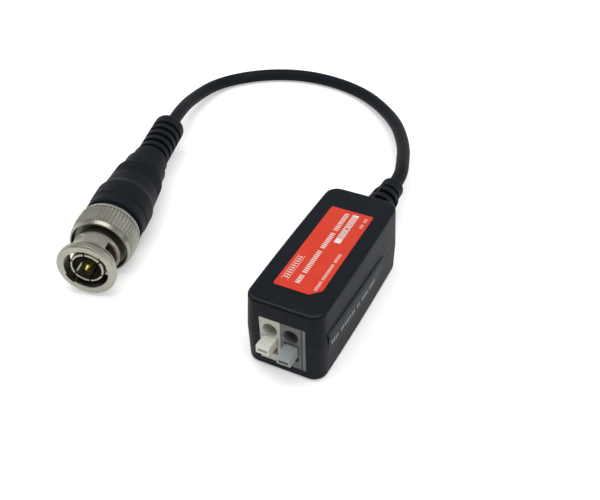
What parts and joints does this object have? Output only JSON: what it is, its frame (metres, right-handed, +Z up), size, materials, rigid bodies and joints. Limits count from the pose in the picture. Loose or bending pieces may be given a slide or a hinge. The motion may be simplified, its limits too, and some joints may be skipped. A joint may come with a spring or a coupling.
{
  "type": "video balun",
  "caption": "Small black plastic video balun with push-lever wire terminals at one end and a short coaxial lead with a bayonet plug at the other.",
  "frame": {"origin": "centre of the box's flat bottom face", "axes": "+Z up from the bottom face, -Y towards the wire terminals, +Y towards the lead's strain relief, +X to the right seen from the terminals"},
  "size_m": [0.0866, 0.1222, 0.0183],
  "materials": {
    "box_plastic": "satin, slightly grained",
    "label_film": "printed film",
    "pale_plastic": "satin",
    "grey_plastic": "satin",
    "white_lever": "satin",
    "blue_grey_lever": "satin",
    "tinned_brass": "tin plated",
    "spring_steel": "bright",
    "board_laminate": "solder mask",
    "ferrite": "matt ceramic",
    "magnet_wire": "enamelled",
    "component_ceramic": "glazed",
    "conductor_insulation": "smooth",
    "cable_jacket": "satin vinyl",
    "boot_vinyl": "satin moulded vinyl",
    "nickel": "nickel plated",
    "nickel_body": "nickel plated",
    "contact_gold": "gold plated",
    "dielectric": "smooth",
    "gasket_rubber": "matt"
  },
  "bodies": {
    "box_and_lead": {"upper_shell": "box_plastic", "lower_shell": "box_plastic", "top_label": "label_film", "pole_body_left": "pale_plastic", "pole_body_right": "grey_plastic", "terminal_end_plate": "grey_plastic", "contact_bar_left": "tinned_brass", "contact_bar_right": "tinned_brass", "clamp_spring_left": "spring_steel", "clamp_spring_right": "spring_steel", "circuit_board": "board_laminate", "ferrite_ring": "ferrite", "winding_line_side": "magnet_wire", "winding_video_side": "magnet_wire", "surge_tube": "component_ceramic", "resistor": "component_ceramic", "capacitor": "component_ceramic", "cable_core_tail": "conductor_insulation", "cable_braid_tail": "tinned_brass", "cable_in_box_boot": "cable_jacket", "box_boot": "boot_vinyl", "cable": "cable_jacket", "cable_in_plug_boot": "cable_jacket", "plug_boot": "boot_vinyl", "crimp_ferrule": "nickel_body", "plug_body": "nickel_body", "insulator": "dielectric", "centre_pin": "contact_gold", "gasket": "gasket_rubber", "wave_washer": "spring_steel"},
    "left_lever": {"lever_left": "white_lever"},
    "right_lever": {"lever_right": "blue_grey_lever"},
    "nut_slider": {"thrust_washer": "nickel_body"},
    "nut": {"coupling_nut": "nickel", "retaining_ring": "spring_steel"}
  },
  "joints": [
    {"name": "left_lever_pivot", "type": "hinge", "parent": "box_and_lead", "child": "left_lever", "pos_m": [-0.00263, -0.0159, 0.007], "axis": [1, 0, 0], "range_deg": [0, 14], "stiffness_Nm_per_rad": 0.2, "deforming": ["clamp_spring_left"]},
    {"name": "right_lever_pivot", "type": "hinge", "parent": "box_and_lead", "child": "right_lever", "pos_m": [0.00212, -0.0159, 0.007], "axis": [1, 0, 0], "range_deg": [-7, 7], "stiffness_Nm_per_rad": 0.2, "deforming": ["clamp_spring_right"]},
    {"name": "nut_slide", "type": "slide", "parent": "box_and_lead", "child": "nut_slider", "axis": [0.2733, -0.9619, 0], "range_m": [0, 0.001], "stiffness_N_per_m": 15000, "deforming": ["wave_washer"]},
    {"name": "nut_turn", "type": "hinge", "parent": "nut_slider", "child": "nut", "pos_m": [-0.05125, -0.01958, 0.0078], "axis": [0.2733, -0.9619, 0], "continuous": true}
  ]
}
